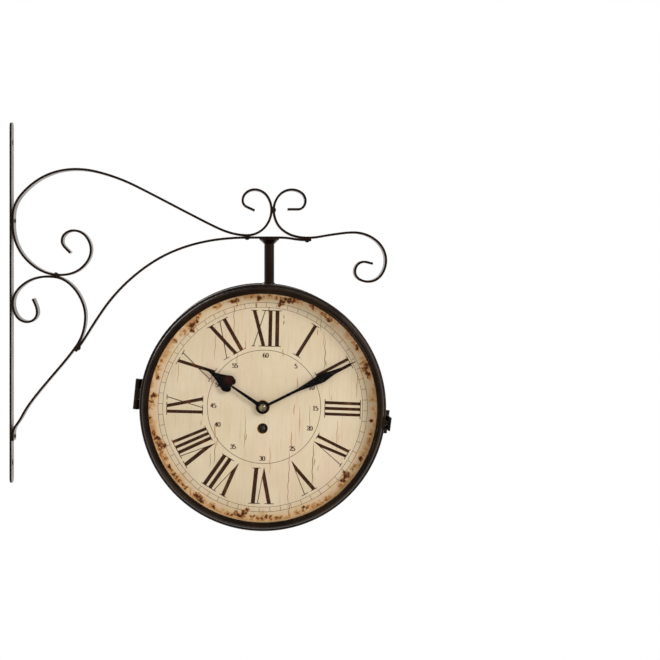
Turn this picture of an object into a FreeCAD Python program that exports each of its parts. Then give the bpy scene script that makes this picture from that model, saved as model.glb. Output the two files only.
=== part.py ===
import FreeCAD, Part
import math
import os

# Double sided station clock that hangs from a scrolled wall bracket. All sizes are in millimetres.
# X runs out from the wall, Z is up and the front dial faces -Y. The origin is the middle of the
# back plate's wall face. The head is built about its own centre, upright, and then leaned and hung.

V = FreeCAD.Vector
UP = V(0, 0, 1)
DEEP = V(0, 1, 0)
ORIGIN = V(0, 0, 0)

# Flat bars of the wall bracket
plate_length = 360.0
plate_thickness = 2.0
plate_corner = 6.0
strip_width = 16.0
strip_thickness = 2.3
brace_width = 10.0
layout_pitch = 10.0             # the scrolls are set out on squared board and their points count squares
strip_tab = 4.0                 # what a strip keeps beyond its last rivet
screw_inset = 20.0              # wall screws in from the plate's ends
screw_hole = 6.0
rivet_shank = 3.0
rivet_head = 5.0
rivet_rise = 1.3

# Post between the bracket and the head
post_squares = 25.86            # how far out the post stands, in squares
post_diameter = 10.0
post_length = 43.7
rose_diameter = 20.0
rose_height = 5.0
foot_diameter = 16.0
foot_height = 3.5
bolt_diameter = 6.0
bolt_grip = 14.0                # how deep the bolt goes into the post
bolt_across_flats = 10.0
bolt_head = 4.0
washer_diameter = 18.0
washer_thickness = 2.6
head_lean = 3.3                 # degrees, clockwise seen from the front

# Drum and bezels
band_diameter = 237.0
band_thickness = 1.2
band_depth = 48.0
bezel_overhang = 2.3
bezel_depth = 15.8
rim_straight = 9.0
rim_round = 2.2
roll_width = 3.2
cove_width = 2.6
lip_width = 1.4
glass_seat = 2.6                # from the bezel's front down to the glass
pocket_wall = 5.3
glass_thickness = 2.0
dial_thickness = 1.2
snap_ring_thickness = 1.1
snap_ring_width = 1.8
snap_ring_gap = 14.0            # degrees
groove_depth = 0.6
spacer_reveal = 0.6             # how far the spacer ring stays behind the bezel's opening
spigot_depth = 5.0
door_gap = 0.3
fit_gap = 0.1

# Door hinge and hasp latch, set out on the sides of the drum
hinge_turn = 2.4                # degrees round from the head's own horizontal
latch_turn = 4.1
hinge_length = 30.0
knuckle_radius = 3.0
hinge_pin_diameter = 2.5
leaf_thickness = 1.2
leaf_reach = 13.0
door_leaf_width = 24.0
running_gap = 0.3
shaft_clearance = 0.05
latch_depth = 12.0              # latch pin behind the drum's middle plane, towards the front
latch_stand = 4.6               # latch pin outside the drum
latch_pin_diameter = 2.0
ear_radius = 2.9
ear_thickness = 4.6
latch_base_front = 2.0          # what the base has beyond its ears, towards the door
latch_base_back = 5.0
hasp_knuckle_radius = 2.7
hasp_width = 13.2
hasp_thickness = 1.3
hasp_length = 20.0
hasp_lip = 4.5
hasp_flare = 0.5                # how far the lip stands out
catch_depth = 4.7               # catch stud in front of the bezel's back
catch_neck = 3.0
catch_head = 4.4
catch_dome = 0.6
catch_hole = 5.2
catch_foot = 6.0
bezel_screw_count = 3
bezel_screw_diameter = 3.0
bezel_screw_head = 5.5
bezel_screw_rise = 1.6
bezel_screw_tip = 1.0           # how far the screws reach in past the spigot

# Clockwork, measured from each bezel's back
movement_size = 56.0
movement_depth = 15.5
movement_corner = 4.0
arbor_floor = 4.0               # housing left behind the bore of the arbors
arbor_end_gap = 0.5
bushing_diameter = 8.0
bushing_rise = 3.4
nut_across_flats = 11.0
nut_thickness = 1.8
dial_washer_diameter = 14.0
dial_washer_thickness = 0.6
cell_diameter = 14.5
cell_length = 50.5
cell_cap = 5.5
cell_cap_length = 1.2
contact_thickness = 0.4
contact_width = 10.0
contact_height = 8.0
bay_clearance = 0.4
bay_height = 17.0               # the cell's axis above the hands' arbor
knob_drop = 14.0
knob_radius = 6.5
knob_thickness = 2.6
knob_notches = 10
knob_notch_radius = 0.7
knob_shaft = 3.0
knob_shaft_length = 5.5
hour_tube_diameter = 5.0
arbor_diameter = 3.2
hand_thickness = 0.5
hand_spacing = 1.5
hour_boss = 13.0
minute_boss = 9.0
hub_rise = 1.0
cap_diameter = 7.6
cap_rise = 2.0
minute_hand_length = 101.4
hour_hand_length = 70.4
minute_stem_width = 2.7
minute_blade_width = 9.2
hour_root_width = 4.0
hour_stem_width = 2.0
hour_heart_width = 17.3
hand_tip = 0.35                 # half of what the hands' tips are cut off to
minute_angle = 60.4             # degrees past twelve
hour_angle = -59.1

# Sizes worked out from those above
band_radius = band_diameter / 2
band_bore = band_radius - band_thickness
band_half = band_depth / 2
bezel_radius = band_radius + bezel_overhang
pocket_radius = bezel_radius - pocket_wall
dial_radius = pocket_radius - fit_gap
opening_radius = bezel_radius - rim_round - roll_width - cove_width - lip_width
glass_front = bezel_depth - glass_seat
glass_back = glass_front - glass_thickness
dial_back = snap_ring_thickness + fit_gap
dial_front = dial_back + dial_thickness
hour_hand_back = dial_front + bushing_rise + fit_gap
minute_hand_back = hour_hand_back + hand_spacing
movement_back = dial_back - movement_depth
screw_spacing = plate_length - 2 * screw_inset
half_strip = strip_thickness / 2
post_x = post_squares * layout_pitch
cell_space = cell_diameter + 2 * bay_clearance


def save(name, *solids):
    """One file for each named piece."""
    shape = solids[0] if len(solids) == 1 else Part.makeCompound(list(solids))
    shape.exportStep(os.path.join("parts", name + ".step"))


def box(x, y, z):
    """Block between pairs of limits along each axis."""
    return Part.makeBox(x[1] - x[0], y[1] - y[0], z[1] - z[0], V(x[0], y[0], z[0]))


def rod(radius, start, end):
    """Round bar from one point to another."""
    return Part.makeCylinder(radius, (end - start).Length, start, end - start)


def outline(points, place):
    """Closed wire. A step is a point reached straight, or a pair: a point the arc passes, and its end."""
    edges = []
    at = place(*points[0])
    for step in list(points[1:]) + [points[0]]:
        if isinstance(step[0], tuple):
            through, end = place(*step[0]), place(*step[1])
            edges.append(Part.Arc(at, through, end).toShape())
        else:
            end = place(*step)
            if (end - at).Length < 1e-6:
                continue
            edges.append(Part.makeLine(at, end))
        at = end
    return Part.Wire(edges)


def turned(points):
    """Solid of revolution about the Y axis, from an outline of radius and depth."""
    return Part.Face(outline(points, lambda r, u: V(r, u, 0))).revolve(ORIGIN, DEEP, 360)


def turned_up(points):
    """Solid of revolution about the Z axis, from an outline of radius and height."""
    return Part.Face(outline(points, lambda r, z: V(r, 0, z))).revolve(ORIGIN, UP, 360)


def ring(inner, outer, low, high):
    return turned([(inner, low), (outer, low), (outer, high), (inner, high)])


def disc(radius, low, high):
    return rod(radius, V(0, low, 0), V(0, high, 0))


def hexagon(across_flats, start, axis, height):
    """Hexagonal prism, for a nut or a bolt's head."""
    corner = across_flats / math.sqrt(3)
    corners = [(corner * math.cos(k * math.pi / 3), corner * math.sin(k * math.pi / 3)) for k in range(6)]
    prism = Part.Face(outline(corners, lambda a, b: V(a, b, 0))).extrude(UP * height)
    prism.Placement = FreeCAD.Placement(start, FreeCAD.Rotation(UP, axis))
    return prism


def domed(radius, rise):
    """Spherical cap on the XY plane."""
    ball = (radius ** 2 + rise ** 2) / (2 * rise)
    half = math.asin(min(radius / ball, 1)) / 2
    through = (ball * math.sin(half), rise - ball + ball * math.cos(half))
    return turned_up([(0, 0), (radius, 0), (through, (0, rise))])


def turned_about(shape, axis, angle):
    copy = shape.copy()
    copy.rotate(ORIGIN, axis, angle)
    return copy


# ---------------------------------------------------------------- scrolled bracket
# A node on a strip is its middle line's x, z and heading in degrees, 0 along X and 90 upwards.

def square(x, z, heading):
    return (x * layout_pitch, z * layout_pitch, heading)


def beside(node, side, turn=0):
    """The node moved to its left by side, heading on or, with a turn of 180, back."""
    x, z, heading = node
    angle = math.radians(heading)
    return (x - side * math.sin(angle), z + side * math.cos(angle), heading + turn)


def along(node, distance):
    x, z, heading = node
    angle = math.radians(heading)
    return (x + distance * math.cos(angle), z + distance * math.sin(angle), heading)


def arc_stretch(start, heading, end):
    """Start, middle and end of the arc that leaves start on a heading, each with its left normal."""
    chord = end - start
    normal = V(-heading.z, 0, heading.x)
    sine = chord.dot(normal)
    if abs(sine) < 1e-6 * chord.Length:
        return [(start, normal), ((start + end) / 2, normal), (end, normal)], heading
    centre = start + normal * (chord.dot(chord) / (2 * sine))
    sweep = 2 * math.degrees(math.atan2(sine, chord.dot(heading)))
    spun = [FreeCAD.Rotation(V(0, -1, 0), sweep * part) for part in (0.0, 0.5, 1.0)]
    stops = [(centre + turn.multVec(start - centre), turn.multVec(normal)) for turn in spun]
    return stops, spun[2].multVec(heading)


def two_arcs(first, second):
    """The pair of tangent arcs that joins two nodes."""
    start, end = V(first[0], 0, first[1]), V(second[0], 0, second[1])
    out, into = (V(math.cos(math.radians(n[2])), 0, math.sin(math.radians(n[2]))) for n in (first, second))
    chord = end - start
    both = chord.dot(out + into)
    bend = 2 * (1 - out.dot(into))
    if bend < 1e-9:
        reach = chord.dot(chord) / (2 * both)
    else:
        reach = (math.sqrt(both ** 2 + bend * chord.dot(chord)) - both) / bend
    middle = (start + end) / 2 + (out - into) * (reach / 2)
    first_arc, heading = arc_stretch(start, out, middle)
    second_arc, heading = arc_stretch(middle, heading, end)
    return [first_arc, second_arc]


def side_edge(stretch, side):
    """One stretch's edge, moved to its left by side."""
    a, b, c = (point + normal * side for point, normal in stretch)
    if (b - (a + c) / 2).Length < 1e-5:
        return Part.makeLine(a, c)
    return Part.Arc(a, b, c).toShape()


def bent_strip(nodes, width):
    """Flat bar bent through the nodes, standing on edge across the bracket's middle plane."""
    stretches = []
    for first, second in zip(nodes, nodes[1:]):
        stretches += two_arcs(first, second)
    left = [side_edge(stretch, half_strip) for stretch in stretches]
    right = [side_edge(stretch, -half_strip) for stretch in stretches]
    caps = [Part.makeLine(*(point + normal * side for side in (half_strip, -half_strip)))
            for point, normal in (stretches[0][0], stretches[-1][-1])]
    face = Part.Face(Part.Wire(Part.__sortEdges__(left + right + caps)))
    face.translate(V(0, -width / 2, 0))
    return face.extrude(V(0, width, 0))


# Where two bars touch and are riveted together
plate_meeting = (plate_thickness, 8.15 * layout_pitch, -90)
plate_lower_meeting = (plate_thickness, -0.1 * layout_pitch, 90)
tail_meeting = (plate_thickness, -13.35 * layout_pitch, -90)
scroll_meeting = square(4.50, 2.67, -7)
brace_foot_meeting = square(6.67, -4.48, 54)
brace_meeting = square(23.65, 6.60, 0)
curl_meeting = square(26.19, 9.25, -90)
end_meeting = square(29.65, 6.35, 0)
brace_underside = brace_meeting[1] - strip_thickness

upper_nodes = [
    square(24.40, 9.18, 155), square(23.20, 10.18, 90), square(24.40, 11.27, 0),
    beside(curl_meeting, -half_strip), beside(brace_meeting, half_strip, -180),
    square(20.98, 7.32, -203.8), square(19.37, 8.10, -207), square(14.61, 10.57, -207.5),
    square(10.60, 12.46, -200), square(6.56, 13.30, -180), square(2.79, 12.21, -146.7),
    along(beside(plate_meeting, half_strip), -strip_tab), along(beside(plate_meeting, half_strip), strip_tab),
    square(1.36, 4.66, -52), beside(scroll_meeting, half_strip),
    square(7.19, 3.49, 41), square(8.09, 5.25, 90), square(6.35, 7.19, 180),
    square(5.20, 6.15, 270), square(5.51, 5.49, 314), square(6.04, 4.96, 315),
]
lower_nodes = [
    square(2.30, 0.38, -65), square(2.73, -0.98, -90), square(1.76, -1.92, -180),
    beside(plate_lower_meeting, -half_strip), square(2.07, 2.25, 24.3), beside(scroll_meeting, -half_strip),
    square(6.80, 0.92, -57.6), square(7.53, -1.40, -90), beside(brace_foot_meeting, half_strip, -180),
    square(3.29, -8.41, -130), square(1.22, -11.32, -117.7),
    along(beside(tail_meeting, half_strip), -strip_tab / 2),
    along(beside(tail_meeting, half_strip), strip_tab),
]
brace_nodes = [
    along(beside(brace_foot_meeting, -half_strip), -strip_tab), beside(brace_foot_meeting, -half_strip),
    square(8.62, -1.69, 57), square(10.18, 0.47, 50), square(14.19, 4.01, 32.8), square(18.29, 5.81, 15.2),
    beside(brace_meeting, -half_strip),
    (post_x + rose_diameter / 2, brace_meeting[1] - half_strip, 0),
    beside(end_meeting, -half_strip), along(beside(end_meeting, -half_strip), strip_tab),
]
end_nodes = [
    square(27.68, 9.30, 0), square(28.73, 9.30, 0), square(29.46, 10.14, 90), square(28.10, 11.26, 180),
    beside(curl_meeting, half_strip), square(27.21, 7.22, -38.7), beside(end_meeting, half_strip),
    square(32.35, 6.81, 8), square(34.25, 6.99, 0), square(36.64, 6.07, -43), square(37.47, 4.20, -90),
    square(35.70, 2.09, -180), square(34.39, 3.10, -270), square(35.13, 4.05, -350),
    square(36.17, 3.89, -370),
]


def on_node(shape, node):
    """Stands a piece built along Z on a node, pointing to the node's left."""
    shape.Placement = FreeCAD.Placement(V(node[0], 0, node[1]), FreeCAD.Rotation(DEEP, -node[2]))
    return shape


def rivet(node, behind, before, side):
    """Rivet through what lies behind and before a node, with its domed head to the left (1) or right (-1)."""
    shank = rod(rivet_shank / 2, V(0, 0, -behind), V(0, 0, before))
    head = domed(rivet_head / 2, rivet_rise)
    if side > 0:
        head = head.translated(V(0, 0, before))
    else:
        head = turned_about(head, V(1, 0, 0), 180).translated(V(0, 0, -behind))
    return on_node(shank.fuse(head), node)


def build_bracket():
    half = plate_length / 2
    corner = plate_corner
    edge = strip_width / 2
    diagonal = corner * (1 - math.sqrt(0.5))
    profile = [
        (-edge, -half + corner), (-edge, half - corner),
        ((-edge + diagonal, half - diagonal), (-edge + corner, half)), (edge - corner, half),
        ((edge - diagonal, half - diagonal), (edge, half - corner)), (edge, -half + corner),
        ((edge - diagonal, -half + diagonal), (edge - corner, -half)), (-edge + corner, -half),
        ((-edge + diagonal, -half + diagonal), (-edge, -half + corner)),
    ]
    plate = Part.Face(outline(profile, lambda y, z: V(0, y, z))).extrude(V(plate_thickness, 0, 0))
    for height in (-screw_spacing / 2, screw_spacing / 2):
        plate = plate.cut(rod(screw_hole / 2, V(-1, 0, height), V(plate_thickness + 1, 0, height)))

    strips = {
        "back_plate": plate,
        "upper_scroll": bent_strip(upper_nodes, strip_width),
        "lower_scroll": bent_strip(lower_nodes, strip_width),
        "brace_strip": bent_strip(brace_nodes, brace_width),
        "end_scroll": bent_strip(end_nodes, strip_width),
    }
    riveted = [
        (plate_meeting, ("back_plate", "upper_scroll"), 1),
        (tail_meeting, ("back_plate", "lower_scroll"), 1),
        (scroll_meeting, ("upper_scroll", "lower_scroll"), 1),
        (brace_foot_meeting, ("lower_scroll", "brace_strip"), -1),
        (brace_meeting, ("upper_scroll", "brace_strip"), -1),
        (curl_meeting, ("upper_scroll", "end_scroll"), 1),
        (end_meeting, ("end_scroll", "brace_strip"), -1),
    ]
    rivets = []
    for node, names, side in riveted:
        behind = plate_thickness if "back_plate" in names else strip_thickness
        shank = on_node(rod(rivet_shank / 2, V(0, 0, -behind - 1), V(0, 0, strip_thickness + 1)), node)
        for name in names:
            strips[name] = strips[name].cut(shank)
        rivets.append(rivet(node, behind, strip_thickness, side).cut([strips[name] for name in names]))
    for name, shape in strips.items():
        save(name, shape)
    save("bracket_rivets", *rivets)


# ---------------------------------------------------------------- hanging the head

foot_top = band_radius + foot_height
lean = FreeCAD.Rotation(DEEP, head_lean)
post_foot_point = V(post_x, 0, brace_underside - post_length)
head_centre = post_foot_point - lean.multVec(UP * foot_top)
head_place = FreeCAD.Placement(head_centre, lean)


def hung(shape, place=head_place):
    return shape.transformed(place.toMatrix())


def beside_drum(shape, side):
    """Turns a piece from its own line to the hinge's place (-1) or the latch's (1) round the upright head."""
    return turned_about(shape, DEEP, hinge_turn if side < 0 else latch_turn)


def build_post():
    inside = band_bore - washer_thickness
    bolt = rod(bolt_diameter / 2, V(0, 0, inside), V(0, 0, foot_top + bolt_grip))
    head = hexagon(bolt_across_flats, V(0, 0, inside - bolt_head), UP, bolt_head)
    hole = rod(bolt_diameter / 2 + fit_gap, V(0, 0, inside - 1), V(0, 0, foot_top + 1))
    washer = rod(washer_diameter / 2, V(0, 0, inside), V(0, 0, band_radius))
    washer = washer.common(disc(band_bore, -washer_diameter, washer_diameter)).cut(hole)

    narrow = post_diameter / 2 + 1
    wide = foot_diameter / 2
    flare = (narrow + 0.3 * (wide - narrow), band_radius + 0.4 * foot_height)
    foot = turned_up([(0, band_radius - 2), (wide, band_radius - 2), (wide, band_radius + 0.5),
                      (flare, (narrow, foot_top)), (0, foot_top)])
    foot = foot.cut(disc(band_radius, -foot_diameter, foot_diameter)).cut(hole)

    top = brace_underside
    post = rod(post_diameter / 2, V(post_x, 0, post_foot_point.z - post_diameter), V(post_x, 0, top))
    below = hung(box((-wide, wide), (-wide, wide), (foot_top - 2 * post_diameter, foot_top)))
    post = post.cut(below).cut(hung(bolt))

    rim = rose_diameter / 2
    tube = post_diameter / 2
    flare = (tube + 0.55 * (rim - tube), top - 0.55 * rose_height)
    rose = turned_up([(tube, top), (rim, top), (rim, top - 0.2 * rose_height),
                      (flare, (tube + 0.6, top - rose_height)), (tube, top - rose_height)])
    save("post_rose", rose.translated(V(post_x, 0, 0)))
    save("suspension_post", post)
    save("post_foot", hung(foot))
    save("post_washer", hung(washer))
    save("post_bolt", hung(bolt.fuse(head)))
    return hole


# ---------------------------------------------------------------- hinge and latch
# Both are built with the hinge on -X and the latch on +X.

barrel_x = -(bezel_radius + running_gap + knuckle_radius)
barrel_y = knuckle_radius - band_half - door_gap
door_back = -(band_half + door_gap)
leaf_plane = barrel_y + knuckle_radius
latch_x = band_radius + latch_stand
latch_y = -latch_depth
catch_y = door_back - catch_depth
far = bezel_radius + 20


def strap(width, low, high, side):
    """Plate that follows the drum on one side, between two depths."""
    sheet = ring(band_radius, band_radius + leaf_thickness, low, high)
    return sheet.common(box(sorted((0, side * far)), (-far, far), (-width / 2, width / 2)))


def barrel(radius, x, y, low, high):
    return rod(radius, V(x, y, low), V(x, y, high))


def side_rivet(side, depth, height):
    """Rivet through the drum and the leaf that lies on it, on one side of the drum."""
    inner = math.sqrt(band_bore ** 2 - height ** 2)
    outer = math.sqrt((band_radius + leaf_thickness) ** 2 - height ** 2)
    head = domed(rivet_head / 2, rivet_rise / 2)
    shank = rod(rivet_shank / 2, V(0, 0, inner), V(0, 0, outer))
    inside = turned_about(head, V(1, 0, 0), 180).translated(V(0, 0, inner))
    whole = shank.multiFuse([head.translated(V(0, 0, outer)), inside])
    return beside_drum(turned_about(whole, DEEP, 90 * side).translated(V(0, depth, height)), side)


def build_hinge():
    """Both leaves and the pin, and the notch that clears the door's leaf in the drum."""
    half = hinge_length / 2
    middle = hinge_length / 6 - running_gap / 2
    pin_radius = hinge_pin_diameter / 2
    web = (leaf_plane - leaf_thickness, leaf_plane)

    case_leaf = strap(hinge_length, web[0], web[0] + leaf_reach, -1)
    for span in ((-half, -middle - running_gap), (middle + running_gap, half)):
        arm = box((barrel_x, -band_radius + 1), web, span).cut(disc(band_radius, -far, far))
        case_leaf = case_leaf.multiFuse([arm, barrel(knuckle_radius, barrel_x, barrel_y, *span)])
    case_leaf = case_leaf.cut(barrel(pin_radius, barrel_x, barrel_y, -half - 1, half + 1))

    wide = door_leaf_width / 2
    sheet = (door_back, door_back + leaf_thickness)
    door_leaf = box((-bezel_radius + fit_gap, -pocket_radius - fit_gap), sheet, (-wide, wide))
    tongue = box((barrel_x, -pocket_radius - 1), sheet, (-middle, middle))
    door_leaf = door_leaf.multiFuse([tongue, barrel(knuckle_radius, barrel_x, barrel_y, -middle, middle)])
    door_leaf = door_leaf.cut(barrel(pin_radius + shaft_clearance, barrel_x, barrel_y, -half, half))

    slack = running_gap + fit_gap
    notch = box((-far, 2 - pocket_radius), (-band_half - 1, sheet[1] + slack), (-wide - slack, wide + slack))
    pieces = {
        "hinge_case_leaf": case_leaf,
        "hinge_door_leaf": door_leaf,
        "hinge_pin": barrel(pin_radius, barrel_x, barrel_y, -half, half),
    }
    return {name: beside_drum(piece, -1) for name, piece in pieces.items()}, beside_drum(notch, -1)


def build_latch():
    """The base and its ears, the hasp, its pin and the stud that it snaps over."""
    half = hasp_width / 2
    ear_end = half + running_gap + ear_thickness
    pin_radius = latch_pin_diameter / 2
    depth = (latch_y - ear_radius, latch_y + ear_radius)

    base = strap(2 * ear_end, depth[0] - latch_base_front, depth[1] + latch_base_back, 1)
    for side in (-1, 1):
        span = sorted((side * (half + running_gap), side * ear_end))
        ear = box((band_radius - 2, latch_x), depth, span).cut(disc(band_radius, -far, far))
        base = base.multiFuse([ear, barrel(ear_radius, latch_x, latch_y, *span)])
    base = base.cut(barrel(pin_radius, latch_x, latch_y, -ear_end - 1, ear_end + 1))

    outer = latch_x + hasp_knuckle_radius
    inner = outer - hasp_thickness
    bend = latch_y - hasp_length
    tip = bend - hasp_lip
    hasp = Part.Face(outline(
        [(inner, latch_y), (inner, bend),
         ((inner + hasp_flare / 4, bend - hasp_lip / 2), (inner + hasp_flare, tip)),
         (outer + 0.8 * hasp_flare, tip + hasp_thickness / 2),
         ((outer + hasp_flare / 5, bend - 0.4 * hasp_lip), (outer, bend)), (outer, latch_y)],
        lambda x, y: V(x, y, -half))).extrude(UP * hasp_width)
    hasp = hasp.fuse(barrel(hasp_knuckle_radius, latch_x, latch_y, -half, half))
    hasp = hasp.cut(barrel(pin_radius + shaft_clearance, latch_x, latch_y, -far, far))
    hasp = hasp.cut(rod(catch_hole / 2, V(inner - 2, catch_y, 0), V(far, catch_y, 0)))

    neck = rod(catch_neck / 2, V(bezel_radius - 3, catch_y, 0), V(outer - 1, catch_y, 0))
    foot = rod(catch_foot / 2, V(bezel_radius - 1, catch_y, 0), V(bezel_radius + leaf_thickness, catch_y, 0))
    foot = foot.cut(disc(bezel_radius, -far, far))
    shoulder = outer - catch_dome
    head = rod(catch_head / 2, V(inner - catch_dome, catch_y, 0), V(shoulder, catch_y, 0))
    dome = turned_about(domed(catch_head / 2, catch_dome), DEEP, 90).translated(V(shoulder, catch_y, 0))
    pieces = {
        "latch_base": base,
        "latch_hasp": hasp,
        "latch_pin": barrel(pin_radius, latch_x, latch_y, -ear_end, ear_end),
        "latch_catch": neck.multiFuse([foot, head, dome]),
    }
    return {name: beside_drum(piece, 1) for name, piece in pieces.items()}, beside_drum(neck, 1)


def build_case_rivets():
    """Two that hold the hinge's leaf and two that hold the latch's base."""
    hinge_depth = leaf_plane + leaf_reach / 2
    latch_depth_back = latch_y + ear_radius + latch_base_back / 2
    pairs = ((-1, hinge_depth, hinge_length / 3), (1, latch_depth_back, hasp_width / 2))
    return [side_rivet(side, depth, sign * reach) for side, depth, reach in pairs for sign in (-1, 1)]


def shanks(rivets):
    """What the rivets' shanks cut from the sheets they join."""
    sheets = ring(band_bore, band_radius + leaf_thickness, -band_half, band_half)
    return [piece.common(sheets) for piece in rivets]


# ---------------------------------------------------------------- drum and faces
# A face is built with its dial towards +Y and its bezel's back on the XZ plane.

def bezel_profile():
    """Section from the pocket out to the rim and over the roll, cove and lip to the glass."""
    crest = bezel_radius - rim_round - roll_width
    bead = crest - cove_width
    shoulder = rim_straight + rim_round
    edge_round = rim_round * (1 - math.sqrt(0.5))
    return [
        (pocket_radius, 0), (bezel_radius, 0), (bezel_radius, rim_straight),
        ((bezel_radius - edge_round, shoulder - edge_round), (bezel_radius - rim_round, shoulder)),
        ((crest + 0.6 * roll_width, bezel_depth - 0.35 * (bezel_depth - shoulder)), (crest, bezel_depth)),
        ((crest - cove_width / 2, bezel_depth - 0.4 * cove_width), (bead, bezel_depth - 0.4)),
        ((opening_radius + lip_width / 2, bezel_depth), (opening_radius, bezel_depth - lip_width / 2)),
        (opening_radius, glass_front), (pocket_radius, glass_front),
    ]


def build_bezel(spigot):
    bezel = turned(bezel_profile())
    groove = ring(pocket_radius - 1, pocket_radius + groove_depth, fit_gap, fit_gap + snap_ring_thickness)
    bezel = bezel.cut(groove)
    if spigot:
        bezel = bezel.fuse(ring(pocket_radius, band_bore - fit_gap, -spigot_depth, 0)).removeSplitter()
    return bezel


def build_snap_ring():
    outer = pocket_radius + groove_depth - fit_gap
    whole = ring(outer - snap_ring_width, outer, fit_gap, fit_gap + snap_ring_thickness)
    gap = outer * math.radians(snap_ring_gap) / 2
    return whole.cut(box((-gap, gap), (-1, dial_back + 1), (-far, 0)))


def knob_rod(radius, low, high):
    """Round bar on the setting knob's line, with its ends measured from the movement's back."""
    return rod(radius, V(0, movement_back + low, -knob_drop), V(0, movement_back + high, -knob_drop))


def build_movement():
    """Housing with its bushing, cell bay and knob well."""
    half = movement_size / 2
    corner = movement_corner
    diagonal = corner * (1 - math.sqrt(0.5))
    sides = [(half, half), (-half, half), (-half, -half), (half, -half)]
    profile = []
    for x, z in sides:
        dx, dz = math.copysign(1, x), math.copysign(1, z)
        ends = [(x, z - dz * corner), (x - dx * corner, z)]
        first, last = ends if dx == dz else ends[::-1]
        profile += [first, ((x - dx * diagonal, z - dz * diagonal), last)]
    housing = Part.Face(outline(profile, lambda x, z: V(x, movement_back, z))).extrude(DEEP * movement_depth)
    housing = housing.fuse(disc(bushing_diameter / 2, 0, dial_front + bushing_rise))
    bore = hour_tube_diameter / 2 + shaft_clearance
    housing = housing.cut(disc(bore, movement_back + arbor_floor, glass_back))
    bay_floor = movement_back + cell_space
    cell_half = cell_length / 2 + contact_thickness + bay_clearance
    bay = box((-cell_half, cell_half), (movement_back - 1, bay_floor),
              (bay_height - cell_space / 2, bay_height + cell_space / 2))
    bay = bay.cut(disc(bushing_diameter / 2 + 1, -far, far))
    well = knob_rod(knob_radius + 1, -1, knob_thickness + arbor_end_gap)
    seat = knob_rod(knob_shaft / 2 + shaft_clearance, 0, knob_thickness + knob_shaft_length + arbor_end_gap)
    return housing.cut([bay, well, seat])


def build_cell():
    axis_y = movement_back + cell_space / 2
    half = cell_length / 2
    shoulder = V(half - cell_cap_length, axis_y, bay_height)
    body = rod(cell_diameter / 2, V(-half, axis_y, bay_height), shoulder)
    return body.fuse(rod(cell_cap / 2, shoulder, V(half, axis_y, bay_height)))


def build_contacts():
    axis_y = movement_back + cell_space / 2
    inner = cell_length / 2
    high = (bay_height - contact_height / 2, bay_height + contact_height / 2)
    depth = (axis_y - contact_width / 2, axis_y + contact_width / 2)
    thick = contact_thickness + bay_clearance
    return [box((inner, inner + thick), depth, high), box((-inner - thick, -inner), depth, high)]


def build_knob():
    wheel = knob_rod(knob_radius, 0, knob_thickness)
    for k in range(knob_notches):
        angle = 2 * math.pi * k / knob_notches
        notch = knob_rod(knob_notch_radius, -1, knob_thickness + 1)
        wheel = wheel.cut(notch.translated(V(math.cos(angle), 0, math.sin(angle)) * knob_radius))
    return wheel.fuse(knob_rod(knob_shaft / 2, 0, knob_thickness + knob_shaft_length))


def cut_hand(half_outline, boss, back, angle, bore):
    """Flat hand drawn along Z from half of its outline, with a round boss, turned to an angle."""
    blade = Part.Face(outline(half_outline, lambda a, b: V(b, back, a))).extrude(DEEP * hand_thickness)
    blade = blade.fuse(blade.mirror(ORIGIN, V(1, 0, 0)))
    hand = blade.fuse(disc(boss / 2, back, back + hand_thickness)).removeSplitter()
    return turned_about(hand.cut(disc(bore / 2, -far, far)), DEEP, -angle)


def spade_outline():
    """Half of the hour hand: slim stem, heart and drawn out tip."""
    tip = hour_hand_length
    heart = 0.53 * tip
    wide = hour_heart_width / 2
    root = hour_root_width / 2
    stem = hour_stem_width / 2
    return [
        (0, 0), (0, root), (heart, stem), ((heart - 1.9, 0.5 * wide), (heart + 1.4, 0.9 * wide)),
        ((heart + 3.6, wide), (heart + 6.4, 0.93 * wide)),
        ((0.725 * tip, 0.52 * wide), (0.81 * tip, 0.27 * wide)),
        ((0.9 * tip, 0.12 * wide), (tip, hand_tip)), (tip, 0),
    ]


def lance_outline():
    """Half of the minute hand: narrow stem that swells straight to a lance head with hollow sides."""
    tip = minute_hand_length
    stem = minute_stem_width / 2
    blade = minute_blade_width / 2
    return [
        (0, 0), (0, stem), (0.38 * tip, stem), (0.645 * tip, blade),
        ((0.75 * tip, 0.53 * blade), (0.88 * tip, 0.22 * blade)), (tip, hand_tip), (tip, 0),
    ]


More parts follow.
